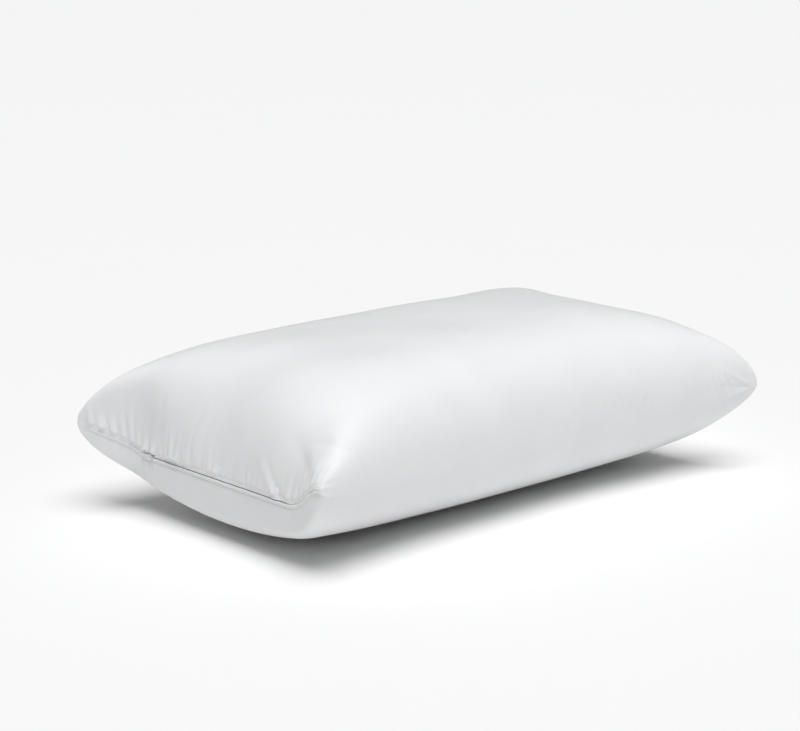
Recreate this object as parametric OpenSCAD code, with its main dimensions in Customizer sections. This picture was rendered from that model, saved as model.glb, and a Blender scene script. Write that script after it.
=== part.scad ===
// Bed pillow: a zipped outer cover, its coil zip, an inner bag and the fibre fill.
// Millimetres. Origin on the resting surface under the pillow's centre, +X along its length, +Z up.
// The zip is in the short end at -X.

/* [Pillow] */
// Ear to ear along the long side
length = 825; // [760:1:900]
// Ear to ear along the short side
width = 460; // [420:1:520]
// Height of the crown above the resting surface
height = 236; // [220:1:250]
// How far each short end is drawn in between its ears
end_inset = 50; // [40:1:60]
// How far each long side is drawn in between its ears
side_inset = 27; // [15:1:35]

/* [Fabrics] */
// Outer cover cloth
cover_cloth = 1.2; // [0.8:0.1:1.2]
// Inner bag cloth
bag_cloth = 0.8; // [0.5:0.1:1]
// Room between the outer cover and the inner bag
bag_room = 2.6; // [2:0.1:3]
// Room between the inner bag and the fill
fill_room = 0.3; // [0.3:0.1:1]

/* [Zip] */
// Height of the zip line above the resting surface
zip_height = 82; // [78:1:90]
// Length of the slit between the two fabric lips
zip_opening = 280; // [240:1:284]
// Height of the slit between the two fabric lips
slit = 1.8; // [1.8:0.1:2.2]
// Pitch of the coil teeth
tooth_pitch = 2.6; // [2.4:0.1:3]
// Pitch of the stitches that hold the zip
stitch_pitch = 3.4; // [3:0.1:5]
// Length of the pull tab from its pivot
pull_length = 24; // [18:1:26]

/* [Hidden] */
$fn = 96;
part_colour = [0.95, 0.95, 0.96];
metal_colour = [0.88, 0.88, 0.90];
inner_colour = [0.90, 0.90, 0.90];
big = 4 * length;

// Pillow form
middle = height / 2;
edge_drop = 80;
crown_rise = 6;
ear_blunt = 1.5;
plan_spare = 20;
crown_radius = 2200;
arc_faces = 360;
end_face = -(length / 2 - end_inset);
bend_radius = 60;
bend_steps = 3;
ear_angle = 40;
flare_reach = 100;
bend_in = bend_radius * (1 - cos(ear_angle));
flare_run = bend_radius * sin(ear_angle) + (end_inset - bend_in) / tan(ear_angle);
end_straight = width - 2 * flare_run;
side_radius = (length * length / 4 + side_inset * side_inset) / (2 * side_inset);

// Depths, measured inwards from the zip end's outer face
lip_radius = 1.3;
lip_trim = 0.3;
hem_depth = 2;
hem_back = cover_cloth + hem_depth;
tape_front = hem_back + 0.1;
tape_thick = 0.6;
tape_back = tape_front + tape_thick;
coil_front = tape_back + 0.1;
coil_thick = 2.2;
coil_back = coil_front + coil_thick;
plate_thick = 1;
front_plate = cover_cloth + 0.4;
back_plate = coil_back + 0.5;
pocket_depth = back_plate + plate_thick + 0.6;

// Heights, measured up and down from the zip line
chain_gap = 0.8;
tape_edge = 14;
hem_edge = 4.8;
tooth_reach = 3.4;
stitch_line = 5.8;
slider_half = 4.1;
pocket_half = tape_edge + 2;

// Lengths along the zip
tape_over = 10;
hem_over = 12;
lip_over = 8;
stitch_over = 6;
pocket_over = 14;
tooth_width = 1.2;
stop_length = 3;
slider_length = 11;
slider_room = 0.5;
slider_home = zip_opening / 2 - slider_length / 2 - 2.5;
tooth_count = floor(zip_opening / tooth_pitch);
stitch_count = floor((zip_opening + 2 * stitch_over) / stitch_pitch);
stitch_length = 2.6;
stitch_thick = 0.4;

// Slider and pull tab
post_half = 0.45;
post_length = 4;
flange_thick = 0.5;
bail_half = 0.55;
bail_length = 6;
pull_pivot = 2.9;
bail_reach = pull_pivot + 1.8;
pull_pin_radius = 0.93;
pull_bore_radius = 1;
pull_thick = 1.4;
pull_half = 2.6;
pull_fork = 4.4;
pull_arm_gap = 0.95;

// Inner pieces, each inset from the outer face of the cover
bag_inset = cover_cloth + bag_room;
bag_inner = bag_inset + bag_cloth;
fill_inset = bag_inner + fill_room;
bag_flange = 2;
bag_flange_thick = 0.7;
bag_split = 0.1;

// ---- Pillow form ----

// Half of a side profile: an arched outline that rises from the ears at middle height
module lobe(half, inset, rise) {
    lobe_radius = rise + edge_drop;
    run = sqrt(lobe_radius * lobe_radius - edge_drop * edge_drop);
    centre = half - run;
    for (side = [-1, 1])
        translate([side * centre, -edge_drop])
            circle(lobe_radius - inset, $fn = arc_faces);
    translate([-centre, -big])
        square([2 * centre, big + rise - inset]);
}

// Side profile, pointed at the ears, flat below
module side_profile(half, inset) {
    translate([0, middle])
        intersection() {
            lobe(half, inset, middle + crown_rise);
            mirror([0, 1]) lobe(half, inset, middle);
        }
}

// What is cut away between the two ears of one short end: straight, bent in steps, then out to each ear
module end_notch(inset) {
    turn = [end_face - bend_radius, end_straight / 2];
    bends = [for (step = [0 : bend_steps])
        turn + (bend_radius + inset) * [cos(step * ear_angle / bend_steps), sin(step * ear_angle / bend_steps)]];
    past = bends[bend_steps] + flare_reach * [-sin(ear_angle), cos(ear_angle)];
    for (side = [0, 1])
        mirror([0, side])
            polygon(concat([[-length, -1], [end_face + inset, -1]], bends, [past, [-length, past.y]]));
}

// Plan outline with all four sides drawn in between the ears; the arcs alone bound it
module plan(inset) {
    difference() {
        square([length + plan_spare, width + plan_spare], center = true);
        end_notch(inset);
        mirror([1, 0]) end_notch(inset);
        for (side = [-1, 1])
            translate([0, side * (width / 2 - side_inset + side_radius)])
                circle(side_radius + inset, $fn = 4 * arc_faces);
    }
}

// The whole pillow as one closed solid, inset from the cover's outer face
module form(inset) {
    intersection() {
        linear_extrude(height + big, center = true) plan(inset);
        rotate([90, 0, 0])
            linear_extrude(width + 2, center = true) side_profile(length / 2 + ear_blunt, inset);
        rotate([90, 0, 90])
            linear_extrude(length + 2, center = true) side_profile(width / 2 + ear_blunt, inset);
        translate([0, 0, height - crown_radius])
            rotate([90, 0, 0])
                cylinder(h = width + 2, r = crown_radius - inset, center = true, $fn = 4 * arc_faces);
    }
}

// ---- Zip frame: a box from one depth to another, low to high, about the zip line ----

module zip_box(depth, height_range, along) {
    translate([end_face + depth[0], along[0], zip_height + height_range[0]])
        cube([depth[1] - depth[0], along[1] - along[0], height_range[1] - height_range[0]]);
}

// The upper side as drawn, or its mirror image below the zip line
module on_side(side) {
    translate([0, 0, zip_height])
        mirror([0, 0, side > 0 ? 0 : 1])
            translate([0, 0, -zip_height])
                children();
}

// Room for the zip, taken out of the inner pieces
module zip_pocket(wall) {
    half_length = zip_opening / 2 + pocket_over + wall;
    half_height = pocket_half + wall;
    zip_box([-1, pocket_depth + wall], [-half_height, half_height], [-half_length, half_length]);
}

// ---- Outer cover ----

// A rolled lip along one edge of the slit
module lip() {
    intersection() {
        translate([end_face, 0, zip_height + slit / 2 + lip_radius - lip_trim])
            rotate([90, 0, 0])
                cylinder(h = zip_opening + 2 * hem_over, r = lip_radius, center = true, $fn = 32);
        zip_box([-2 * lip_radius, cover_cloth / 2], [slit / 2, 3 * lip_radius],
            [-zip_opening / 2 - lip_over, zip_opening / 2 + lip_over]);
    }
}

module hem() {
    half_length = zip_opening / 2 + hem_over;
    zip_box([cover_cloth / 2, hem_back], [hem_edge, tape_edge], [-half_length, half_length]);
}

module cover() {
    color(part_colour)
        difference() {
            union() {
                difference() {
                    form(0);
                    form(cover_cloth);
                }
                for (side = [-1, 1])
                    on_side(side) {
                        lip();
                        hem();
                    }
            }
            zip_box([-2 * lip_radius, front_plate], [-slit / 2, slit / 2],
                [-zip_opening / 2, zip_opening / 2]);
        }
}

module stitch_row(side) {
    color(part_colour)
        for (index = [0 : stitch_count - 1]) {
            start = (index - stitch_count / 2) * stitch_pitch + (stitch_pitch - stitch_length) / 2;
            on_side(side)
                zip_box([-stitch_thick - 0.05, -0.05], [stitch_line, stitch_line + 0.5],
                    [start, start + stitch_length]);
        }
}

// ---- Zip ----

module tape(side) {
    half_length = zip_opening / 2 + tape_over;
    color(part_colour)
        on_side(side)
            zip_box([tape_front, tape_back], [chain_gap, tape_edge], [-half_length, half_length]);
}

// One coil: a spine with a row of teeth that reach the middle gap
module coil(side) {
    color(part_colour)
        on_side(side) {
            zip_box([coil_front + 0.4, coil_back - 0.4], [tooth_reach - 1, tooth_reach],
                [-tooth_count * tooth_pitch / 2, tooth_count * tooth_pitch / 2]);
            for (index = [0 : tooth_count - 1]) {
                start = (index - tooth_count / 2) * tooth_pitch + (side > 0 ? 0.2 : 1.2);
                zip_box([coil_front, coil_back], [chain_gap, tooth_reach - 0.4],
                    [start, start + tooth_width]);
            }
        }
}

module top_stops() {
    start = slider_home + slider_length / 2 + slider_room;
    color(metal_colour)
        for (side = [-1, 1])
            on_side(side)
                zip_box([front_plate, tape_front - 0.05], [chain_gap, slider_half],
                    [start, start + stop_length]);
}

module bottom_stop() {
    start = -zip_opening / 2 - tape_over + 1;
    color(metal_colour)
        zip_box([front_plate, tape_front - 0.05], [-slider_half, slider_half],
            [start, start + stop_length]);
}

module slider() {
    half = slider_length / 2;
    color(metal_colour)
        difference() {
            translate([0, slider_home, 0]) {
                zip_box([front_plate, front_plate + plate_thick], [-slider_half, slider_half], [-half, half]);
                zip_box([back_plate, back_plate + plate_thick], [-slider_half, slider_half], [-half, half]);
                zip_box([front_plate, back_plate + plate_thick], [-post_half, post_half],
                    [-post_length / 2, post_length / 2]);
                for (side = [-1, 1])
                    on_side(side)
                        zip_box([tape_back + 0.4, back_plate + plate_thick / 2],
                            [slider_half - flange_thick + 0.2, slider_half], [-half, half]);
                zip_box([-bail_reach, front_plate + plate_thick / 2], [-bail_half, bail_half],
                    [-bail_length / 2, bail_length / 2]);
            }
            translate([end_face - pull_pivot, slider_home, zip_height])
                cylinder(h = 4, r = pull_bore_radius, center = true, $fn = 48);
        }
}

module pull() {
    tab = [-pull_pivot - pull_thick / 2, -pull_pivot + pull_thick / 2];
    color(metal_colour)
        translate([0, slider_home, 0]) {
            zip_box(tab, [-pull_half, pull_half], [pull_fork, pull_length]);
            for (side = [-1, 1])
                on_side(side)
                    zip_box(tab, [pull_arm_gap, pull_half], [-pull_pin_radius, pull_fork + 1]);
            translate([end_face - pull_pivot, 0, zip_height])
                cylinder(h = 2 * pull_half - 0.6, r = pull_pin_radius, center = true, $fn = 48);
        }
}

// ---- Inner bag and fill ----

// The bag's outer or inner face, kept clear of the zip
module bag_form(inset, wall) {
    difference() {
        form(inset);
        zip_pocket(wall);
    }
}

// One panel of the bag with its overlocked edge, above or below the bag's seam
module bag_panel(side) {
    color(inner_colour)
        intersection() {
            union() {
                difference() {
                    bag_form(bag_inset, 0);
                    bag_form(bag_inner, bag_cloth);
                }
                difference() {
                    translate([0, 0, middle])
                        linear_extrude(2 * bag_flange_thick, center = true) plan(bag_inset - bag_flange);
                    form(bag_inner);
                }
            }
            translate([-big / 2, -big / 2, side > 0 ? middle + bag_split / 2 : middle - bag_split / 2 - big])
                cube(big);
        }
}

module fill() {
    color(inner_colour)
        bag_form(fill_inset, bag_cloth + fill_room);
}

// ---- Nodes ----

cover();
stitch_row(1);  // zip_stitches_upper
stitch_row(-1);  // zip_stitches_lower
tape(1);  // zip_tape_upper
tape(-1);  // zip_tape_lower
coil(1);  // zip_coil_upper
coil(-1);  // zip_coil_lower
top_stops();  // zip_top_stops
bottom_stop();  // zip_bottom_stop
slider();  // zip_slider
pull();  // pull_tab
bag_panel(1);  // inner_bag_top
bag_panel(-1);  // inner_bag_bottom
fill();  // fibre_fill
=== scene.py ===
"""Bed pillow: a plump zipped cover over an inner bag of fibre fill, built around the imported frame.

The cover is two cloth sheets that meet at mid height, in the girdle. A cloth point is known by u and v.
u runs from the zipped end (-1) to the far end (1), and v from the folded side (-1) to the sewn side (1).
"""

import math

import bmesh
import bpy
import numpy as np
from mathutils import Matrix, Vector


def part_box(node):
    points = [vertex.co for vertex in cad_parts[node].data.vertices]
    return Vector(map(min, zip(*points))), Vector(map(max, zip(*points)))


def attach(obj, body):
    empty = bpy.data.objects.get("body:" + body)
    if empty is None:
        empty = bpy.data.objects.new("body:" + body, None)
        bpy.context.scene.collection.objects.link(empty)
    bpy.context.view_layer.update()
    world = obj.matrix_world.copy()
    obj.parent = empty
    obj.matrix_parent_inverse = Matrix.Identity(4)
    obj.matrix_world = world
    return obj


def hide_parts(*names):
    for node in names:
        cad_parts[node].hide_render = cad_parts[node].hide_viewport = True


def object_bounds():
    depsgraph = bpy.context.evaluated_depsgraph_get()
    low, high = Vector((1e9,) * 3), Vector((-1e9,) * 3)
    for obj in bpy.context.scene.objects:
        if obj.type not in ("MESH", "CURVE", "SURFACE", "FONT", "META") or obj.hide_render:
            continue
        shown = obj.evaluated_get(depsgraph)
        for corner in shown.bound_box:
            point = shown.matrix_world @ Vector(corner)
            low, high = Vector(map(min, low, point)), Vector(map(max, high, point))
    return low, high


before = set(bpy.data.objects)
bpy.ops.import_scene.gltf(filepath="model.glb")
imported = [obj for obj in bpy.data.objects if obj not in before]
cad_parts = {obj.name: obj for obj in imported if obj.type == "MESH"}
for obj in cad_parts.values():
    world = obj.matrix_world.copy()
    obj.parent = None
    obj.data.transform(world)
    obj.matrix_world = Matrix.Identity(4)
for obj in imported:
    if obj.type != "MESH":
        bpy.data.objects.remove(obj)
CAD_LOW, CAD_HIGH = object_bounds()
MM = 0.001

# ---- sizes read from the frame ----
LENGTH = CAD_HIGH.x - CAD_LOW.x
WIDTH = CAD_HIGH.y - CAD_LOW.y
HEIGHT = CAD_HIGH.z - CAD_LOW.z
MIDDLE = HEIGHT / 2
LOWER_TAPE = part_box("zip_tape_lower")
UPPER_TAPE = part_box("zip_tape_upper")
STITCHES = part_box("zip_stitches_upper")
TAPE_DEPTH = 3.3 * MM
TAPE_OVER = 10 * MM
ZIP_Z = (LOWER_TAPE[1].z + UPPER_TAPE[0].z) / 2
ZIP_HALF = (LOWER_TAPE[1].y - LOWER_TAPE[0].y) / 2 - TAPE_OVER
END_FACE = LOWER_TAPE[0].x - TAPE_DEPTH

# ---- the pillow's form ----
END_INSET = CAD_HIGH.x + END_FACE
SIDE_INSET = 27 * MM
BEND_RADIUS = 60 * MM
EAR_ANGLE = math.radians(40)
BEND_IN = BEND_RADIUS * (1 - math.cos(EAR_ANGLE))
BEND_RUN = BEND_RADIUS * math.sin(EAR_ANGLE)
STRAIGHT_HALF = WIDTH / 2 - BEND_RUN - (END_INSET - BEND_IN) / math.tan(EAR_ANGLE)
SEAM_DIP = MIDDLE - ZIP_Z
DIP_START = 0.63
REST_SAG = 6 * MM
CORNER_RADIUS = 80 * MM
CORNER_RISE = 0.8
CORNER_LEAST = 1e-6
NEAR_RADIUS = 85 * MM
NEAR_FLARE_LESS = 0.45
RISE_BEND = 0.15
ZIP_END_ROOT = 0.7
FAR_END_ROOT = 0.5
ZIPPED_REACH = 0.8
NEAR_SPAN = (-0.1, 0.7)
DIP_POWER = 4
# How each profile swells: the power sets how flat its middle is, and the root how steep its edge
DOME_POWER = 5
EAR_SWELL = (24, 0.15)
SIDE_SWELL = (2.93, 0.47)
REST_END_SWELL = (2.15, 0.15)
REST_SIDE_SWELL = (1.8, 0.407)


def smooth_step(low, high, value):
    """0 below low, 1 above high, and a smooth rise between."""
    share = np.clip((value - low) / (high - low), 0, 1)
    return share * share * (3 - 2 * share)


def end_inset(y):
    """How far the short end is drawn in at y: straight, then bent, then out to the ear."""
    past = np.clip(np.abs(y) - STRAIGHT_HALF, 0, None)
    on_bend = BEND_RADIUS - np.sqrt(BEND_RADIUS**2 - np.minimum(past, BEND_RUN) ** 2)
    on_flare = BEND_IN + (past - BEND_RUN) * math.tan(EAR_ANGLE)
    return END_INSET - np.where(past < BEND_RUN, on_bend, on_flare)


def near_corner(u, v):
    """1 at the corner where the zip meets the folded side, which is softer than the others."""
    return smooth_step(0, ZIPPED_REACH, -u) * smooth_step(*NEAR_SPAN, -v)


def plan_point(u, v):
    """Plan position of a cloth point, before its corners are rounded."""
    inset = end_inset(v * WIDTH / 2)
    inset = inset + (END_INSET - inset) * NEAR_FLARE_LESS * near_corner(u, v)
    x = u * (LENGTH / 2 - inset * u**2)
    y = v * (WIDTH / 2 - SIDE_INSET * (1 - u**2) * v**2)
    return x, y


def round_corner(x, y, radius):
    """Draws a plan position in towards a rounded rectangle of that corner radius."""
    radius = np.maximum(radius, CORNER_LEAST)
    past_x = np.clip(np.abs(x) - (LENGTH / 2 - radius), 0, radius)
    past_y = np.clip(np.abs(y) - (WIDTH / 2 - radius), 0, radius)
    less_x = past_x * (1 - np.sqrt(1 - (past_y / radius) ** 2 / 2))
    less_y = past_y * (1 - np.sqrt(1 - (past_x / radius) ** 2 / 2))
    return x - np.sign(x) * less_x, y - np.sign(y) * less_y


def seam_rise(v):
    """0 along the zip and 1 at the corners: an even climb on the sewn side, a soft one on the folded side."""
    past = np.clip((np.abs(v) - DIP_START) / (1 - DIP_START), 0, 1)
    even = (np.sqrt(past**2 + RISE_BEND**2) - RISE_BEND) / (math.hypot(1, RISE_BEND) - RISE_BEND)
    return np.where(v > 0, even, smooth_step(0, 1, past))


def seam_height(u, v):
    """Height of the pillow's girdle: it dips along the middle of each short end."""
    return MIDDLE - SEAM_DIP * (1 - seam_rise(v)) * u**DIP_POWER


def swell(t, power, root):
    """How full the cloth stands, 1 in the middle and 0 at the edge."""
    return np.clip(1 - np.abs(t) ** power, 0, 1) ** root


def top_height(u, v):
    """Height of the upper sheet: domed along the middle, and fuller beside the ears."""
    girdle = seam_height(u, v)
    beside = smooth_step(0, 1, np.abs(v)) * (1 - near_corner(u, v))
    root = FAR_END_ROOT + (ZIP_END_ROOT - FAR_END_ROOT) * smooth_step(0, ZIPPED_REACH, -u)
    along = swell(u, DOME_POWER, root) * (1 - beside) + swell(u, *EAR_SWELL) * beside
    return girdle + (HEIGHT - girdle) * along * swell(v, *SIDE_SWELL)


def bottom_height(u, v):
    """Height of the lower sheet, flat where it rests."""
    girdle = seam_height(u, v)
    fall = (girdle + REST_SAG) * swell(u, *REST_END_SWELL) * swell(v, *REST_SIDE_SWELL)
    return np.maximum(girdle - fall, 0)


def cloth_point(height, u, v):
    """A point of one sheet. Corners are rounder away from the girdle, the near corner throughout."""
    x, y = plan_point(u, v)
    z = height(u, v)
    girdle = seam_height(u, v)
    risen = np.where(z > girdle, (z - girdle) / (HEIGHT - girdle), (girdle - z) / girdle)
    near = near_corner(u, v)
    radius = CORNER_RADIUS * smooth_step(0, CORNER_RISE, risen) * (1 - near) + NEAR_RADIUS * near
    x, y = round_corner(x, y, radius)
    return np.stack([x, y, z], axis=-1)


# ---- the cloth's grid ----
BODY_STEP = 4.6 * MM
END_STEP = 2.4 * MM
SEAM_STEP = 0.75 * MM
ZIP_ROWS = (9 * MM, 14 * MM)
BODY_ROWS = (70 * MM, 130 * MM)
COLUMNS = 300
FINE = 2400
PROFILE_POINTS = 20001
# How much the lower sheet and the rises count when the columns are spaced
LOWER_COUNTS = 0.5
RISE_COUNTS = 0.6
# The columns stand this many times closer in a last small share of v, at the sewn side
SEWN_CLOSER = 3
SEWN_SHARE = 0.002


def row_step(walked):
    """Step between rows at a distance from the zip: fine at the seams, then coarser over the body."""
    past_zip = smooth_step(*ZIP_ROWS, walked)
    on_body = smooth_step(*BODY_ROWS, walked)
    return SEAM_STEP + (END_STEP - SEAM_STEP) * past_zip + (BODY_STEP - END_STEP) * on_body


def graded_shares(length, step):
    """Shares from 0 to 1 of a length, whose steps follow step(distance)."""
    fine = np.linspace(0, length, FINE)
    count = np.concatenate([[0], np.cumsum((fine[1] - fine[0]) / step((fine[1:] + fine[:-1]) / 2))])
    return np.interp(np.linspace(0, count[-1], int(count[-1]) + 1), count, fine) / length


def column_places():
    """v of each column: even along the crosswise profile, with the steep sides counted less."""
    v = np.sin(np.linspace(-1, 1, PROFILE_POINTS) * math.pi / 2)
    y = plan_point(np.zeros_like(v), v)[1]
    rise = top_height(np.zeros_like(v), v) - LOWER_COUNTS * bottom_height(np.zeros_like(v), v)
    step = np.hypot(np.diff(y), RISE_COUNTS * np.diff(rise))
    step = step * (1 + SEWN_CLOSER * smooth_step(1 - SEWN_SHARE, 1, v[1:]))
    walked = np.concatenate([[0], np.cumsum(step)])
    return np.interp(np.linspace(0, walked[-1], COLUMNS), walked, v)


def walked_along(points, axis):
    """Distance walked over the cloth from the grid's first row or column."""
    step = np.linalg.norm(np.diff(points, axis=axis), axis=2)
    start = np.zeros_like(step.take([0], axis=axis))
    return np.concatenate([start, np.cumsum(step, axis=axis)], axis=axis)


def fine_sheet(height, v):
    """One cloth sheet in close rows, to measure distances along."""
    fine_u = np.sin(np.linspace(-1, 1, FINE) * math.pi / 2)
    grid_u, grid_v = np.meshgrid(fine_u, v, indexing="ij")
    return cloth_point(height, grid_u, grid_v)


def row_shares(step):
    """Shares of a column's length where the rows of both sheets stand, so that the sheets' sides match."""
    middle = walked_along(fine_sheet(top_height, np.zeros(1)), 0)[-1, 0]
    return graded_shares(middle, lambda walked: step(np.minimum(walked, middle - walked)))


def sheet_grid(height, v, start, shares):
    """One cloth sheet as a grid of points; each column begins at distance start from the zip line."""
    points = fine_sheet(height, v)
    walked = walked_along(points, 0)
    grid = np.empty((len(shares), len(v), 3))
    for column in range(len(v)):
        reach = start[column] + shares * (walked[-1, column] - start[column])
        for axis in range(3):
            grid[:, column, axis] = np.interp(reach, walked[:, column], points[:, column, axis])
    return grid


NO_LENGTH = 1e-12
EDGE_LEVEL = 6 * MM


def outward(points):
    """Unit normals that point away from the pillow's middle."""
    normal = np.cross(np.gradient(points, axis=0), np.gradient(points, axis=1))
    normal /= np.maximum(np.linalg.norm(normal, axis=2, keepdims=True), NO_LENGTH)
    facing = np.sum(normal * (points - np.array([0, 0, MIDDLE])), axis=2, keepdims=True)
    return normal * np.where(facing < 0, -1, 1)


def edge_outward(points, from_zip, from_far, from_fold, from_sewn):
    """Normals that turn level near the sheets' edges, so that both sheets move together there."""
    nearest = np.minimum(np.minimum(from_zip, from_far), np.minimum(from_fold, from_sewn))
    near = np.exp(-((nearest / EDGE_LEVEL) ** 2))
    flat = np.zeros_like(points)
    flat[..., 0] = np.exp(-from_far / EDGE_LEVEL) - np.exp(-from_zip / EDGE_LEVEL)
    flat[..., 1] = np.exp(-from_sewn / EDGE_LEVEL) - np.exp(-from_fold / EDGE_LEVEL)
    flat /= np.maximum(np.linalg.norm(flat, axis=2, keepdims=True), NO_LENGTH)
    mixed = outward(points) * (1 - near[..., None]) + flat * near[..., None]
    return mixed / np.maximum(np.linalg.norm(mixed, axis=2, keepdims=True), NO_LENGTH)


# ---- unevenness, puckers and folds ----
SEED = 11
NOISE_PEAK = 1.6
draw = np.random.default_rng(SEED)


def waves(count, longest, shortest):
    """Random level waves for noise(): wave numbers, directions and phases."""
    length = longest * (shortest / longest) ** draw.random(count)
    turn = draw.random(count) * 2 * math.pi
    phase = draw.random(count) * 2 * math.pi
    return 2 * math.pi / length * np.cos(turn), 2 * math.pi / length * np.sin(turn), phase


def noise(a, b, wave):
    """A smooth random field of a and b, mostly from -1 to 1."""
    total = np.zeros(np.broadcast(a, b).shape)
    for along, across, phase in zip(*wave):
        total += np.sin(along * a + across * b + phase)
    return total * math.sqrt(2 / len(wave[0])) / NOISE_PEAK


WARP = waves(count=8, longest=90 * MM, shortest=34 * MM)
PATCHES = waves(count=8, longest=110 * MM, shortest=34 * MM)
SWAY = waves(count=10, longest=260 * MM, shortest=110 * MM)
SIDE_PATCHES = waves(count=8, longest=160 * MM, shortest=60 * MM)


# A pucker's ridge: how sharp its valleys are, and what is taken off so that the valleys lie below the cloth
RIDGE_POWER = 0.8
RIDGE_LESS = 0.4
PUCKER_LEAN = 0.35
PUCKER_SWAY = 0.9
PUCKER_START = (2 * MM, 9 * MM)
# Strength along the seam: its middle, its swing, its most, and how slowly it changes away from the seam
STRENGTH_MIDDLE = 0.55
STRENGTH_SWING = 0.6
STRENGTH_MOST = 1.25
STRENGTH_STRETCH = 0.25
# Reach away from the seam, as shares of the reach asked for
REACH_MIDDLE = 0.75
REACH_SWING = 0.45
REACH_LEAST = 0.3
REACH_PLACE = 0.3


def gathers(along, away, pitch, reach, height, patches):
    """Puckers that stand across a seam: round ridges with narrow valleys that fade away from it."""
    bend = noise(along, PUCKER_LEAN * away, WARP)
    ridge = np.abs(np.cos(math.pi * along / pitch + PUCKER_SWAY * bend)) ** RIDGE_POWER - RIDGE_LESS
    uneven = STRENGTH_MIDDLE + STRENGTH_SWING * noise(along, STRENGTH_STRETCH * away, patches)
    strength = np.clip(uneven, 0, STRENGTH_MOST)
    own_reach = reach * (REACH_MIDDLE + REACH_SWING * noise(along, 0 * away + REACH_PLACE, patches))
    held_reach = np.maximum(own_reach, REACH_LEAST * reach)
    fade = smooth_step(*PUCKER_START, away) * np.exp(-((away / held_reach) ** 2))
    return height * ridge * strength * fade


CREASE_TAPER = 0.75
CREASE_SPREAD = 0.6


def fold(along, away, start, end, width, height):
    """A single fold from one cloth point to another, proud if height is positive."""
    start, end = np.array(start) * MM, np.array(end) * MM
    run = end - start
    share = ((along - start[0]) * run[0] + (away - start[1]) * run[1]) / (run @ run)
    held = np.clip(share, 0, 1)
    apart = np.hypot(along - start[0] - held * run[0], away - start[1] - held * run[1])
    reach = width * MM * CREASE_SPREAD * (1 + held)
    return height * MM * (1 - CREASE_TAPER * held) * np.exp(-((apart / reach) ** 2))


# Folds above the zip in millimetres: start, end, width, height. A place is (across the end, above the seam)
UPPER_FOLDS = (
    ((141, 2), (122, 22), 2.6, -1.7),
    ((131, 2), (113, 19), 2.4, -1.5),
    ((136, 3), (118, 26), 3.2, 1.5),
    ((-120, 2), (-84, 44), 7.0, 2.4),
    ((-132, 4), (-100, 40), 4.5, -1.3),
    ((-193, 30), (-146, 88), 12.0, 2.4),
    ((-176, 36), (-130, 84), 8.0, -1.4),
    ((-208, 62), (-160, 74), 4.0, -1.2),
    ((-214, 72), (-170, 86), 4.0, 1.1),
    ((60, 3), (52, 46), 4.0, 1.1),
    ((-18, 3), (-16, 40), 4.0, 0.9),
)
# Folds on the folded long side near the zipped end: (along the side from the middle, above the girdle)
SIDE_FOLDS = (
    ((-392, 4), (-352, 26), 4.0, 1.4),
    ((-396, -2), (-348, 8), 3.5, -1.4),
    ((-390, -8), (-340, -14), 4.0, 1.3),
    ((-372, -12), (-384, -44), 3.5, -1.6),
    ((-364, -14), (-374, -48), 4.0, 1.2),
    ((392, 4), (350, 30), 4.0, 1.3),
    ((396, -2), (344, 4), 3.0, -1.3),
    ((390, -8), (336, -22), 5.0, 1.3),
)

WELT = 0.45 * MM
WELT_END = (4.6 * MM, 6.6 * MM)
STITCH_LINE = 5.9 * MM
GROOVE = 0.6 * MM
GROOVE_HALF = 0.8 * MM
LIP_FADE = (0.93, 1.0)
# Near the zip the relief is held within these, to hide the tapes behind it and to leave room for the pull tab
ZIP_HIDDEN = 0.35 * MM
ZIP_CLEAR = 1.2 * MM
ZIP_CLEAR_UNTIL = 5 * MM
ZIP_CLEAR_RISE = 1.2
EAR_CLEAR = (4 * MM, 30 * MM)
END_CLEAR = (10 * MM, 60 * MM)
FOLDS_CLEAR = (0, 8 * MM)
SWAY_HEIGHT = 0.9 * MM
SWAY_FROM_ZIP = (30 * MM, 90 * MM)
SWAY_FROM_FAR = (0, 40 * MM)
# Rows of puckers on a seam: a shift along the random field, then pitch, reach and height
ZIP_PUCKERS = ((0.0, 13 * MM, 30 * MM, 6.4 * MM), (0.4, 29 * MM, 50 * MM, 4.4 * MM))
FAR_PUCKERS = ((0.9, 14 * MM, 22 * MM, 1.92 * MM), (0.2, 31 * MM, 40 * MM, 1.5 * MM))
SEWN_PUCKERS = ((0.5, 15 * MM, 26 * MM, 1.65 * MM),)
# Puckers at the zip are weaker on the lower sheet and stronger towards the sewn side
LOWER_SHARE = 0.22
PLAIN_SHARE = 0.75
SEWN_MORE = 0.55
SEWN_MORE_SPAN = (20 * MM, 120 * MM)
SEAM_SINK = 1.5 * MM
FAR_SINK_REACH = 1.6 * MM
SIDE_SINK_REACH = 1.8 * MM
# Faint puckers that cross the folded side, mostly towards the far end
CROSS_PITCH = 13 * MM
CROSS_SWAY = 1.5
CROSS_LESS = 0.62
CROSS_HEIGHT = 2.8 * MM
CROSS_MIDDLE = 8 * MM
CROSS_REACH = 30 * MM
CROSS_PATCH = 0.3
CROSS_PATCH_SWING = 0.8
CROSS_STRETCH = 0.2
CROSS_NEAR_SHARE = 0.3
CROSS_SPAN = (60 * MM, 200 * MM)


def lip_fade(v):
    """1 along the end seam and 0 at the ears."""
    return 1 - smooth_step(*LIP_FADE, np.abs(v))


def pucker_rows(along, away, rows, patches):
    """Rows of puckers of several pitches on one seam."""
    total = 0
    for shift, pitch, reach, height in rows:
        total = total + gathers(along + shift, away, pitch, reach, height, patches)
    return total


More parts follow.
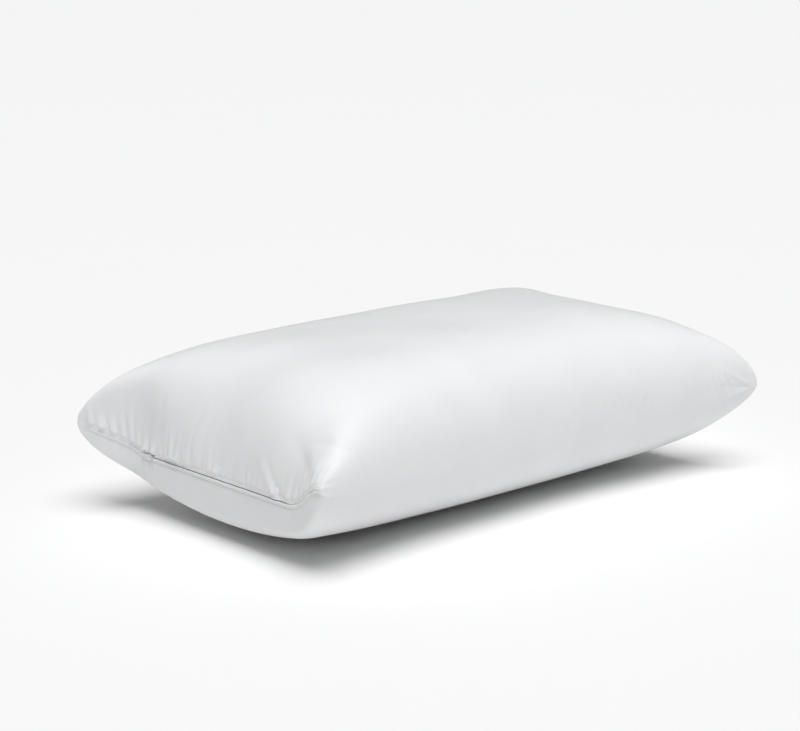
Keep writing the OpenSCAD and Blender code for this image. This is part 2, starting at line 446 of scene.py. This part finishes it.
def zip_relief(y, from_zip, from_fold, from_sewn, side):
    """Puckers on both sides of the zip, and single folds above it."""
    share = (1.0 if side > 0 else LOWER_SHARE) * (PLAIN_SHARE + SEWN_MORE * smooth_step(*SEWN_MORE_SPAN, y))
    clear = smooth_step(*EAR_CLEAR, from_fold) * smooth_step(*EAR_CLEAR, from_sewn)
    total = share * clear * pucker_rows(y, from_zip, ZIP_PUCKERS, PATCHES)
    if side > 0:
        inside = smooth_step(*FOLDS_CLEAR, np.minimum(from_fold, from_sewn))
        for start, end, width, height in UPPER_FOLDS:
            total += inside * fold(y, from_zip, start, end, width, height)
    return total


def held_at_zip(total, from_zip):
    """Holds the relief within its room at the zip; the room widens away from the zip."""
    least = -ZIP_HIDDEN * (1 + from_zip / TAPE_OVER)
    most = ZIP_CLEAR + ZIP_CLEAR_RISE * np.clip(from_zip - ZIP_CLEAR_UNTIL, 0, None)
    return np.clip(total, least, most)


def lip_relief(v, from_zip):
    """The folded hem's extra thickness, and the groove that the stitching pulls into it."""
    welt = WELT * (1 - smooth_step(*WELT_END, from_zip))
    groove = GROOVE * np.exp(-(((from_zip - STITCH_LINE) / GROOVE_HALF) ** 2))
    return lip_fade(v) * (welt - groove)


def sewn_relief(x, y, v, from_zip, from_far, from_fold, from_sewn):
    """Puckers and sunken seams at the sewn end and along the sewn side."""
    ears = smooth_step(*EAR_CLEAR, from_fold) * smooth_step(*EAR_CLEAR, from_sewn)
    ends = smooth_step(*END_CLEAR, from_zip) * smooth_step(*END_CLEAR, from_far)
    total = ears * pucker_rows(y, from_far, FAR_PUCKERS, PATCHES)
    total += ends * pucker_rows(x, from_sewn, SEWN_PUCKERS, SIDE_PATCHES)
    total -= SEAM_SINK * lip_fade(v) * np.exp(-from_far / FAR_SINK_REACH)
    total -= SEAM_SINK * ends * np.exp(-from_sewn / SIDE_SINK_REACH)
    return total


def folded_relief(x, rise, from_zip, from_far):
    """Faint puckers across the folded side, and folds at its corners; rise is measured up from the girdle."""
    ends = smooth_step(*END_CLEAR, from_zip) * smooth_step(*END_CLEAR, from_far)
    wander = CROSS_SWAY * noise(x, rise, WARP)
    ridge = np.abs(np.cos(math.pi * x / CROSS_PITCH + wander)) ** RIDGE_POWER - CROSS_LESS
    patch = np.clip(CROSS_PATCH + CROSS_PATCH_SWING * noise(x, CROSS_STRETCH * rise, SIDE_PATCHES), 0, 1)
    band = np.exp(-(((rise - CROSS_MIDDLE) / CROSS_REACH) ** 2))
    share = CROSS_NEAR_SHARE + (1 - CROSS_NEAR_SHARE) * smooth_step(*CROSS_SPAN, x)
    total = CROSS_HEIGHT * ends * share * ridge * patch * band
    for start, end, width, height in SIDE_FOLDS:
        total += fold(x, rise, start, end, width, height)
    return total


def relief(points, v, from_zip, from_far, from_fold, from_sewn, side):
    """How far the cloth stands off the plain form; side is 1 for the upper sheet and -1 for the lower."""
    x, y = points[..., 0], points[..., 1]
    clear = smooth_step(*SWAY_FROM_ZIP, from_zip) * smooth_step(*SWAY_FROM_FAR, from_far)
    total = SWAY_HEIGHT * noise(x, y, SWAY) * clear
    total = held_at_zip(total + zip_relief(y, from_zip, from_fold, from_sewn, side), from_zip)
    total += lip_relief(v, from_zip)
    total += sewn_relief(x, y, v, from_zip, from_far, from_fold, from_sewn)
    return total + folded_relief(x, side * from_fold, from_zip, from_far)


# ---- the zip's lips ----
LIP_RADIUS = {1: 0.8 * MM, -1: 1.4 * MM}
SLIT_HALF = 0.58 * MM
CLOSED_HALF = 0.15 * MM
LIP_TURNS = (90, 120, 150, 180, 210, 240, 270)
HEM_BACK = 1.25 * MM
SEWN_BACK = 2.2 * MM
TAPE_ROOM = 4 * MM
POCKET_HALF = 15.5 * MM
POCKET_DEPTH = 8.8 * MM
POCKET_STEP = 0.1 * MM
ZIP_FADE = 8 * MM


def zip_share(y):
    """1 along the zip and 0 along the sewn stretch next to each ear."""
    return 1 - smooth_step(ZIP_HALF, ZIP_HALF + ZIP_FADE, np.abs(y))


def slit_gap(v):
    """Half the height of the slit."""
    return (CLOSED_HALF + (SLIT_HALF - CLOSED_HALF) * zip_share(v * WIDTH / 2)) * lip_fade(v)


def lip_reach(v, side):
    """Distance from the zip line to where the lip's roll begins."""
    return slit_gap(v) + 2 * LIP_RADIUS[side] * lip_fade(v)


def lip_rows(edge, v, side):
    """Rows of points that roll the cloth's edge over, then turn it back into the zip's pocket."""
    y = edge[:, 1]
    face = edge[:, 0] + WELT * lip_fade(v)
    gap = slit_gap(v)
    radius = LIP_RADIUS[side] * lip_fade(v)
    pocket = zip_share(v * WIDTH / 2) * lip_fade(v)
    centre = edge[:, 2] - side * radius
    rows = []
    for turn in LIP_TURNS:
        out = radius * math.cos(math.radians(turn))
        up = side * radius * math.sin(math.radians(turn))
        rows.append(np.stack([edge[:, 0] + out, y, centre + up], 1))
    line = centre - side * (radius + gap)
    closed = SEWN_BACK * lip_fade(v) * (1 - pocket)
    behind = (
        (HEM_BACK, 0),
        (HEM_BACK + POCKET_STEP, TAPE_ROOM),
        (HEM_BACK + 2 * POCKET_STEP, POCKET_HALF),
        (POCKET_DEPTH, POCKET_HALF),
    )
    for depth, half in behind:
        up = gap + (half - gap) * pocket if half else gap
        rows.append(np.stack([face + closed + depth * pocket, y, line + side * up], 1))
    return rows


# ---- small mesh helpers ----


def mesh_object(name, points, faces, smooth=True):
    """A new object made from points and faces."""
    mesh = bpy.data.meshes.new(name)
    places = np.asarray(points, float).reshape(-1, 3).tolist()
    mesh.from_pydata(places, [], [[int(corner) for corner in face] for face in faces])
    mesh.update()
    mesh.polygons.foreach_set("use_smooth", [smooth] * len(mesh.polygons))
    obj = bpy.data.objects.new(name, mesh)
    bpy.context.scene.collection.objects.link(obj)
    return obj


def grid_faces(rows, columns, closed):
    """Quads between the rows of a grid; a closed grid also joins its last row to its first."""
    faces = []
    for row in range(rows if closed else rows - 1):
        after = (row + 1) % rows
        for column in range(columns - 1):
            here, there = row * columns + column, after * columns + column
            faces.append((here, here + 1, there + 1, there))
    return faces


SAME_PLACE = 0.002 * MM
FLAT = 0.001 * MM
SLIVER = 0.3 * MM**2


def weld(obj):
    """Joins points that share a place, then drops the loose edges and open slivers that this leaves."""
    work = bmesh.new()
    work.from_mesh(obj.data)
    bmesh.ops.remove_doubles(work, verts=work.verts, dist=SAME_PLACE)
    bmesh.ops.dissolve_degenerate(work, edges=work.edges, dist=FLAT)
    rims = [edge.link_faces[0] for edge in work.edges if len(edge.link_faces) == 1]
    slivers = {face for face in rims if face.calc_area() < SLIVER}
    bmesh.ops.delete(work, geom=sorted(slivers, key=lambda face: face.index), context="FACES")
    bmesh.ops.delete(work, geom=[edge for edge in work.edges if not edge.link_faces], context="EDGES")
    bmesh.ops.recalc_face_normals(work, faces=work.faces)
    work.to_mesh(obj.data)
    work.free()


# ---- cover ----


def finished_sheet(height, v, side):
    """A sheet with its relief, and each point's distance from the zip line."""
    start = lip_reach(v, side)
    plain = sheet_grid(height, v, start, row_shares(row_step))
    from_zip = walked_along(plain, 0) + start
    from_far = from_zip[-1] - from_zip
    from_fold = walked_along(plain, 1)
    from_sewn = from_fold[:, -1:] - from_fold
    normal = edge_outward(plain, from_zip, from_far, from_fold, from_sewn)
    raised = plain + normal * relief(plain, v, from_zip, from_far, from_fold, from_sewn, side)[..., None]
    raised[..., 2] = np.maximum(raised[..., 2], 0)
    return raised, from_zip


def build_cover(top, bottom, v):
    """One closed ring of rows: over the top, round the upper lip, round the lower lip and back underneath."""
    upper_lip = lip_rows(top[0], v, 1)
    lower_lip = lip_rows(bottom[0], v, -1)
    ring = list(top[::-1]) + upper_lip + lower_lip[::-1] + list(bottom[:-1])
    cover = mesh_object("pillow_cover", np.array(ring), grid_faces(len(ring), len(v), True))
    weld(cover)
    return cover


# ---- zip stitching ----
STITCH_PITCH = 3.4 * MM
STITCH_HALF = 1.3 * MM
THREAD_HALF = 0.26 * MM
STITCH_RINGS = 5
STITCH_SIDES = 8
STITCH_POWER = 4
STITCH_TIP = 0.06
STITCH_SINK = 0.25 * MM


def stitch_points(middle, run):
    """One short thread that lies along run and tapers at both ends."""
    run = run / np.linalg.norm(run)
    out = np.array([-1.0, 0, 0])
    up = np.cross(run, out)
    points = []
    for ring in range(STITCH_RINGS):
        share = ring / (STITCH_RINGS - 1) * 2 - 1
        radius = THREAD_HALF * math.sqrt(max(1 - share**STITCH_POWER, STITCH_TIP))
        sink = STITCH_SINK * share**2
        for turn in range(STITCH_SIDES):
            angle = 2 * math.pi * turn / STITCH_SIDES
            around = radius * (math.cos(angle) * up + math.sin(angle) * out)
            points.append(middle + share * STITCH_HALF * run + around - sink * out)
    return points


def stitch_faces(first):
    """Faces of one thread, whose points begin at the index first."""
    faces = []
    for ring in range(STITCH_RINGS - 1):
        for turn in range(STITCH_SIDES):
            after = (turn + 1) % STITCH_SIDES
            low, high = first + ring * STITCH_SIDES, first + (ring + 1) * STITCH_SIDES
            faces.append((low + turn, low + after, high + after, high + turn))
    last = first + (STITCH_RINGS - 1) * STITCH_SIDES
    faces.append([first + turn for turn in range(STITCH_SIDES)][::-1])
    faces.append([last + turn for turn in range(STITCH_SIDES)])
    return faces


def build_stitching(name, sheet, from_zip):
    """A row of stitches that follows the cloth along its stitch line."""
    line = np.array([[np.interp(STITCH_LINE, from_zip[:, j], sheet[:, j, axis]) for axis in range(3)]
                     for j in range(sheet.shape[1])])
    reach = STITCHES[1].y - STITCH_HALF
    places = np.arange(-reach, reach, STITCH_PITCH)
    points, faces = [], []
    for place in places:
        ends = [np.array([np.interp(place + step, line[:, 1], line[:, axis]) for axis in range(3)])
                for step in (-STITCH_HALF, STITCH_HALF)]
        faces += stitch_faces(len(points))
        points += stitch_points((ends[0] + ends[1]) / 2, ends[1] - ends[0])
    return mesh_object(name, points, faces)


# ---- inner bag and fill ----
INNER_COLUMNS = 90
INNER_STEP = 9 * MM
BAG_LESS = (24 * MM, 10 * MM, 8 * MM)
FILL_LESS = (32 * MM, 17 * MM, 14 * MM)
FLANGE = 2 * MM
BAG_CLOTH = 0.8 * MM
PANEL_SHIFT = 0.6 * BAG_CLOTH
FILL_LUMP = 2.2 * MM
LUMP_FADE = 30 * MM
LUMPS = waves(count=14, longest=90 * MM, shortest=26 * MM)


def inner_sheet(height, less):
    """A coarser sheet of the same form, smaller by less in length, width and height."""
    v = np.interp(np.linspace(0, COLUMNS - 1, INNER_COLUMNS), np.arange(COLUMNS), column_places())
    sheet = sheet_grid(height, v, np.zeros(INNER_COLUMNS), row_shares(lambda walked: INNER_STEP + 0 * walked))
    size = np.array([LENGTH, WIDTH, HEIGHT])
    middle = np.array([0, 0, MIDDLE])
    return middle + (sheet - middle) * (size - np.array(less)) / size


def build_bag_panel(name, height, side):
    """One panel of the inner bag, with the flat edge that is sewn to the other panel."""
    sheet = inner_sheet(height, BAG_LESS)
    sheet[..., 2] += side * PANEL_SHIFT
    reach = np.array([1 + 2 * FLANGE / LENGTH, 1 + 2 * FLANGE / WIDTH, 1])
    framed = np.concatenate([sheet[:1] * reach, sheet, sheet[-1:] * reach])
    framed = np.concatenate([framed[:, :1] * reach, framed, framed[:, -1:] * reach], axis=1)
    panel = mesh_object(name, framed, grid_faces(*framed.shape[:2], False))
    weld(panel)
    thick = panel.modifiers.new("cloth", "SOLIDIFY")
    thick.thickness = BAG_CLOTH
    thick.offset = -1
    return panel


def build_fill():
    """The fibre fill, lumpy all over."""
    sheets = []
    for height in (top_height, bottom_height):
        sheet = inner_sheet(height, FILL_LESS)
        from_edge = np.minimum(walked_along(sheet, 1), walked_along(sheet[:, ::-1], 1)[:, ::-1])
        from_end = np.minimum(walked_along(sheet, 0), walked_along(sheet[::-1], 0)[::-1])
        fade = smooth_step(0, LUMP_FADE, np.minimum(from_edge, from_end))
        lump = FILL_LUMP * noise(sheet[..., 0], sheet[..., 1], LUMPS) * fade
        sheets.append(sheet + outward(sheet) * lump[..., None])
    ring = list(sheets[0][::-1]) + list(sheets[1][1:-1])
    fill = mesh_object("fibre_filling", np.array(ring), grid_faces(len(ring), INNER_COLUMNS, True))
    weld(fill)
    return fill


# ---- materials ----


# The wave texture's phase turns by this many radians for each metre, at a scale of 1
WAVE_TURN = 20
RAMP_SPAN = (0.3, 0.7)


class Nodes:
    """Adds shader nodes and links to one material."""

    def __init__(self, name, colour, rough):
        self.material = bpy.data.materials.new(name)
        self.material.use_nodes = True
        self.tree = self.material.node_tree
        self.shader = self.tree.nodes["Principled BSDF"]
        self.shader.inputs["Base Color"].default_value = (*colour, 1)
        self.shader.inputs["Roughness"].default_value = rough
        self.place = self.add("ShaderNodeTexCoord").outputs["Object"]

    def add(self, kind, **values):
        node = self.tree.nodes.new(kind)
        for key, value in values.items():
            if key in node.inputs:
                node.inputs[key].default_value = value
            else:
                setattr(node, key, value)
        return node

    def link(self, output, socket):
        self.tree.links.new(output, socket)

    def noise(self, scale, detail=3.0):
        node = self.add("ShaderNodeTexNoise", Scale=scale, Detail=detail)
        self.link(self.place, node.inputs["Vector"])
        return node.outputs["Fac"]

    def bands(self, direction, pitch):
        """Threads of a given pitch across one direction."""
        node = self.add("ShaderNodeTexWave", bands_direction=direction, Scale=2 * math.pi / pitch / WAVE_TURN)
        self.link(self.place, node.inputs["Vector"])
        return node.outputs["Fac"]

    def total(self, first, second):
        node = self.add("ShaderNodeMath", operation="ADD")
        self.link(first, node.inputs[0])
        self.link(second, node.inputs[1])
        return node.outputs["Value"]

    def ranged(self, value, low, high):
        node = self.add("ShaderNodeMapRange")
        node.inputs["To Min"].default_value = low
        node.inputs["To Max"].default_value = high
        self.link(value, node.inputs["Value"])
        return node.outputs["Result"]

    def vary_colour(self, scale, light, dark):
        """Lets the colour drift in soft patches between light and dark."""
        ramp = self.add("ShaderNodeValToRGB")
        for stop, position, colour in zip(ramp.color_ramp.elements, RAMP_SPAN, (dark, light)):
            stop.position = position
            stop.color = (*colour, 1)
        self.link(self.noise(scale), ramp.inputs["Fac"])
        self.link(ramp.outputs["Color"], self.shader.inputs["Base Color"])

    def vary_rough(self, scale, low, high):
        """Lets the roughness drift between low and high."""
        self.link(self.ranged(self.noise(scale), low, high), self.shader.inputs["Roughness"])

    def set(self, values):
        """Sets uniform values on the shader's own sockets."""
        for socket, value in values.items():
            self.shader.inputs[socket].default_value = value

    def bump(self, height, strength, distance):
        """Lays one more bump, with its distance in metres, over those already there."""
        node = self.add("ShaderNodeBump", Strength=strength, Distance=distance)
        self.link(height, node.inputs["Height"])
        for below in self.shader.inputs["Normal"].links:
            self.link(below.from_socket, node.inputs["Normal"])
        self.link(node.outputs["Normal"], self.shader.inputs["Normal"])


def shade(colour, factor):
    return tuple(channel * factor for channel in colour)


def cloth_material(name, colour, rough, sheen, pitch, crinkle):
    """Plain-woven cloth: crossing threads, a soft crinkle, and slight changes of tone and gloss."""
    cloth = Nodes(name, colour, rough)
    cloth.vary_colour(scale=14.0, light=colour, dark=shade(colour, factor=0.965))
    cloth.vary_rough(scale=220.0, low=rough - 0.05, high=rough + 0.07)
    cloth.set({"Sheen Weight": sheen, "Sheen Roughness": 0.45, "Specular IOR Level": 0.35})
    level = cloth.total(cloth.bands("X", pitch), cloth.bands("Y", pitch))
    weave = cloth.total(level, cloth.bands("Z", pitch))
    cloth.bump(cloth.noise(scale=70.0, detail=2.0), strength=crinkle, distance=0.8 * MM)
    cloth.bump(cloth.noise(scale=420.0, detail=4.0), strength=0.25, distance=0.12 * MM)
    cloth.bump(weave, strength=0.3, distance=0.05 * MM)
    return cloth.material


def tape_material():
    """Woven zip tape with a diagonal twill."""
    tape = Nodes("zip_tape_twill", colour=(0.84, 0.84, 0.85), rough=0.7)
    tape.vary_colour(scale=90.0, light=(0.86, 0.86, 0.87), dark=(0.80, 0.80, 0.81))
    tape.vary_rough(scale=300.0, low=0.62, high=0.78)
    tape.set({"Sheen Weight": 0.3})
    tape.bump(tape.bands("DIAGONAL", pitch=1.1 * MM), strength=0.5, distance=0.15 * MM)
    tape.bump(tape.bands("Y", pitch=0.55 * MM), strength=0.4, distance=0.08 * MM)
    return tape.material


def coil_material():
    """Moulded nylon coil."""
    coil = Nodes("zip_coil_nylon", colour=(0.86, 0.86, 0.85), rough=0.35)
    coil.vary_colour(scale=60.0, light=(0.88, 0.88, 0.87), dark=(0.82, 0.82, 0.80))
    coil.vary_rough(scale=250.0, low=0.28, high=0.42)
    coil.set({"Subsurface Weight": 0.1})
    coil.bump(coil.noise(scale=600.0), strength=0.2, distance=0.05 * MM)
    return coil.material


def enamel_material():
    """White enamel over die-cast metal, slightly rubbed."""
    enamel = Nodes("zip_metal_enamel", colour=(0.82, 0.82, 0.83), rough=0.3)
    enamel.vary_colour(scale=180.0, light=(0.86, 0.86, 0.87), dark=(0.74, 0.74, 0.75))
    enamel.vary_rough(scale=400.0, low=0.2, high=0.38)
    enamel.set({"Coat Weight": 0.4, "Coat Roughness": 0.15})
    enamel.bump(enamel.noise(scale=900.0), strength=0.15, distance=0.03 * MM)
    return enamel.material


def thread_material():
    """Twisted polyester thread."""
    thread = Nodes("sewing_thread", colour=(0.88, 0.88, 0.89), rough=0.5)
    thread.vary_colour(scale=300.0, light=(0.90, 0.90, 0.91), dark=(0.82, 0.82, 0.83))
    thread.vary_rough(scale=500.0, low=0.42, high=0.6)
    thread.set({"Sheen Weight": 0.4})
    thread.bump(thread.bands("DIAGONAL", pitch=0.35 * MM), strength=0.5, distance=0.06 * MM)
    return thread.material


def fibre_material():
    """Loose polyester fibre: soft, matt and hairy."""
    fibre = Nodes("polyester_fibre", colour=(0.9, 0.9, 0.9), rough=0.9)
    fibre.vary_colour(scale=40.0, light=(0.92, 0.92, 0.92), dark=(0.8, 0.8, 0.8))
    fibre.vary_rough(scale=300.0, low=0.82, high=0.98)
    fibre.set({"Sheen Weight": 0.6})
    fibre.bump(fibre.noise(scale=60.0, detail=6.0), strength=0.6, distance=2.5 * MM)
    fibre.bump(fibre.noise(scale=700.0, detail=8.0), strength=0.5, distance=0.5 * MM)
    return fibre.material


def set_material(obj, material):
    obj.data.materials.clear()
    obj.data.materials.append(material)


# ---- camera, light and floor ----
VIEW_AZIMUTH = math.radians(-42.5)
VIEW_ELEVATION = math.radians(14.2)
VIEW_DISTANCE = 2.79
SENSOR = 36.0
FOCAL = 2.576
SHIFT_X = -0.0376
SHIFT_Y = 0.0459


def build_camera():
    data = bpy.data.cameras.new("camera")
    data.sensor_width = SENSOR
    data.lens = FOCAL * SENSOR
    data.shift_x = SHIFT_X
    data.shift_y = SHIFT_Y
    camera = bpy.data.objects.new("camera", data)
    back = Vector((
        math.sin(VIEW_AZIMUTH) * math.cos(VIEW_ELEVATION),
        -math.cos(VIEW_AZIMUTH) * math.cos(VIEW_ELEVATION),
        math.sin(VIEW_ELEVATION),
    ))
    camera.location = Vector((0, 0, MIDDLE)) + VIEW_DISTANCE * back
    camera.rotation_euler = (math.pi / 2 - VIEW_ELEVATION, 0, VIEW_AZIMUTH)
    bpy.context.scene.collection.objects.link(camera)
    bpy.context.scene.camera = camera


def soft_sun(name, towards, spread, power):
    """A broad light from one direction, even over the whole floor, as a large softbox gives."""
    data = bpy.data.lights.new(name, "SUN")
    data.angle = spread
    data.energy = power
    lamp = bpy.data.objects.new(name, data)
    lamp.rotation_euler = Vector(towards).to_track_quat("Z", "Y").to_euler()
    bpy.context.scene.collection.objects.link(lamp)


FLOOR_REACH = 40.0
KEY_TOWARDS = (-0.07, -0.24, 0.95)
KEY_SPREAD = math.radians(50)
KEY_POWER = 2.85
AMBIENT = (0.97, 0.985, 1.0)
AMBIENT_POWER = 0.15
BACKDROP = (0.95, 0.95, 0.95)


def build_floor():
    corners = [(FLOOR_REACH * x, FLOOR_REACH * y, 0) for x, y in ((-1, -1), (1, -1), (1, 1), (-1, 1))]
    floor = mesh_object("floor", corners, [(0, 1, 2, 3)], smooth=False)
    pale = Nodes("pale_floor", colour=(0.93, 0.93, 0.93), rough=0.9)
    pale.vary_rough(scale=3.0, low=0.85, high=0.95)
    set_material(floor, pale.material)


def build_stage():
    """Floor, key light, and a world that lights dimly but looks white behind the pillow."""
    build_floor()
    world = bpy.data.worlds.new("studio")
    world.use_nodes = True
    tree = world.node_tree
    dim = tree.nodes["Background"]
    dim.inputs["Color"].default_value = (*AMBIENT, 1)
    dim.inputs["Strength"].default_value = AMBIENT_POWER
    white = tree.nodes.new("ShaderNodeBackground")
    seen = tree.nodes.new("ShaderNodeLightPath")
    either = tree.nodes.new("ShaderNodeMixShader")
    tree.links.new(seen.outputs["Is Camera Ray"], either.inputs["Fac"])
    tree.links.new(dim.outputs["Background"], either.inputs[1])
    tree.links.new(white.outputs["Background"], either.inputs[2])
    tree.links.new(either.outputs["Shader"], tree.nodes["World Output"].inputs["Surface"])
    white.inputs["Color"].default_value = (*BACKDROP, 1)
    bpy.context.scene.world = world
    bpy.context.scene.view_settings.view_transform = "Standard"
    soft_sun("key", KEY_TOWARDS, KEY_SPREAD, KEY_POWER)


build_camera()
build_stage()
columns = column_places()
top_sheet, top_from_zip = finished_sheet(top_height, columns, 1)
bottom_sheet, bottom_from_zip = finished_sheet(bottom_height, columns, -1)

thread = thread_material()
bag_cloth = cloth_material(
    "bag_cotton", colour=(0.86, 0.86, 0.85), rough=0.75, sheen=0.2, pitch=0.7 * MM, crinkle=0.5
)
cover_cloth = cloth_material(
    "cover_sateen", colour=(0.885, 0.888, 0.895), rough=0.5, sheen=0.3, pitch=0.45 * MM, crinkle=0.3
)

cover = build_cover(top_sheet, bottom_sheet, columns)
set_material(cover, cover_cloth)
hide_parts("cover")
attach(cover, "pillow")

for word, sheet, from_zip in (("upper", top_sheet, top_from_zip), ("lower", bottom_sheet, bottom_from_zip)):
    row = build_stitching(f"zip_stitching_{word}", sheet, from_zip)
    set_material(row, thread)
    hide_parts(f"zip_stitches_{word}")
    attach(row, "pillow")

filling = build_fill()
set_material(filling, fibre_material())
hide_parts("fibre_fill")
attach(filling, "pillow")

for word, height, side in (("top", top_height, 1), ("bottom", bottom_height, -1)):
    panel = build_bag_panel(f"bag_panel_{word}", height, side)
    set_material(panel, bag_cloth)
    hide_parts(f"inner_bag_{word}")
    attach(panel, "pillow")

for material, nodes in (
    (tape_material(), ("zip_tape_upper", "zip_tape_lower")),
    (coil_material(), ("zip_coil_upper", "zip_coil_lower")),
    (enamel_material(), ("zip_top_stops", "zip_bottom_stop", "zip_slider", "pull_tab")),
):
    for node in nodes:
        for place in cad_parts[node].material_slots:
            place.material = material
